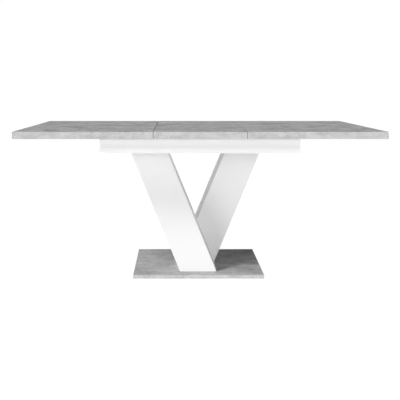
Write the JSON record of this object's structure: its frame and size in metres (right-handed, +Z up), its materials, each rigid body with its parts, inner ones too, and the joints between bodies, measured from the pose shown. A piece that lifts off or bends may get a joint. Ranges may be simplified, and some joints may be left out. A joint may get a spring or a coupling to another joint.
{
  "type": "extendable dining table",
  "caption": "Rectangular extendable dining table with a concrete-look top and base plate, white apron and a V of two slanting box legs, shown with its leaf laid in.",
  "frame": {"origin": "on the floor under the middle of the table", "axes": "+X along the table to the right, +Y towards the rear, +Z up; the leg in front leans to -X"},
  "size_m": [1.764, 0.8, 0.758],
  "materials": {
    "concrete_decor_board": "matt concrete decor on particle board",
    "concrete_edge_band": "matt concrete decor edging",
    "chipboard_strip": "raw particle board",
    "white_melamine": "satin white melamine on particle board",
    "pine_block": "planed softwood",
    "beech": "waxed beech",
    "zinc_steel": "zinc-plated steel",
    "cast_zinc": "die-cast zinc",
    "white_nylon": "moulded nylon",
    "grey_felt": "dense felt"
  },
  "bodies": {
    "base_frame": {"base_plate": "concrete_decor_board", "base_plate_edge_band": "concrete_edge_band", "foot_screws": "zinc_steel", "floor_glides": "grey_felt", "front_leg_front_panel": "white_melamine", "front_leg_rear_panel": "white_melamine", "front_leg_left_panel": "white_melamine", "front_leg_right_panel": "white_melamine", "front_leg_head_block": "pine_block", "front_leg_foot_block": "pine_block", "rear_leg_front_panel": "white_melamine", "rear_leg_rear_panel": "white_melamine", "rear_leg_left_panel": "white_melamine", "rear_leg_right_panel": "white_melamine", "rear_leg_head_block": "pine_block", "rear_leg_foot_block": "pine_block", "mounting_board_left": "white_melamine", "mounting_board_right": "white_melamine", "leg_bolts": "zinc_steel", "leg_bolt_inserts": "zinc_steel", "cam_locks": "cast_zinc", "cam_bolts": "zinc_steel", "apron_front": "white_melamine", "apron_rear": "white_melamine", "apron_left": "white_melamine", "apron_right": "white_melamine", "corner_joint_blocks": "white_nylon", "corner_block_screws": "zinc_steel", "corner_dowels": "beech", "glide_tapes": "white_nylon", "guide_front": "beech", "guide_rear": "beech", "guide_screws": "zinc_steel", "stop_blocks": "beech"},
    "left_half": {"left_top_board": "concrete_decor_board", "left_top_strips": "chipboard_strip", "left_top_edge_band": "concrete_edge_band", "left_runner_front": "beech", "left_runner_rear": "beech", "left_runner_screws": "zinc_steel", "left_stop_pins": "zinc_steel"},
    "right_half": {"right_top_board": "concrete_decor_board", "right_top_strips": "chipboard_strip", "right_top_edge_band": "concrete_edge_band", "right_runner_front": "beech", "right_runner_rear": "beech", "right_runner_screws": "zinc_steel", "right_stop_pins": "zinc_steel"},
    "loose_leaf": {"leaf_board": "concrete_decor_board", "leaf_strips": "chipboard_strip", "leaf_edge_band": "concrete_edge_band"}
  },
  "joints": [
    {"name": "left_half_slide", "type": "slide", "parent": "base_frame", "child": "left_half", "axis": [-1, 0, 0], "range_m": [0, 0.025]},
    {"name": "right_half_slide", "type": "slide", "parent": "base_frame", "child": "right_half", "axis": [1, 0, 0], "range_m": [0, 0.025]},
    {"name": "leaf_lift", "type": "slide", "parent": "base_frame", "child": "loose_leaf", "axis": [0, 0, 1], "range_m": [0, 0.15]}
  ]
}
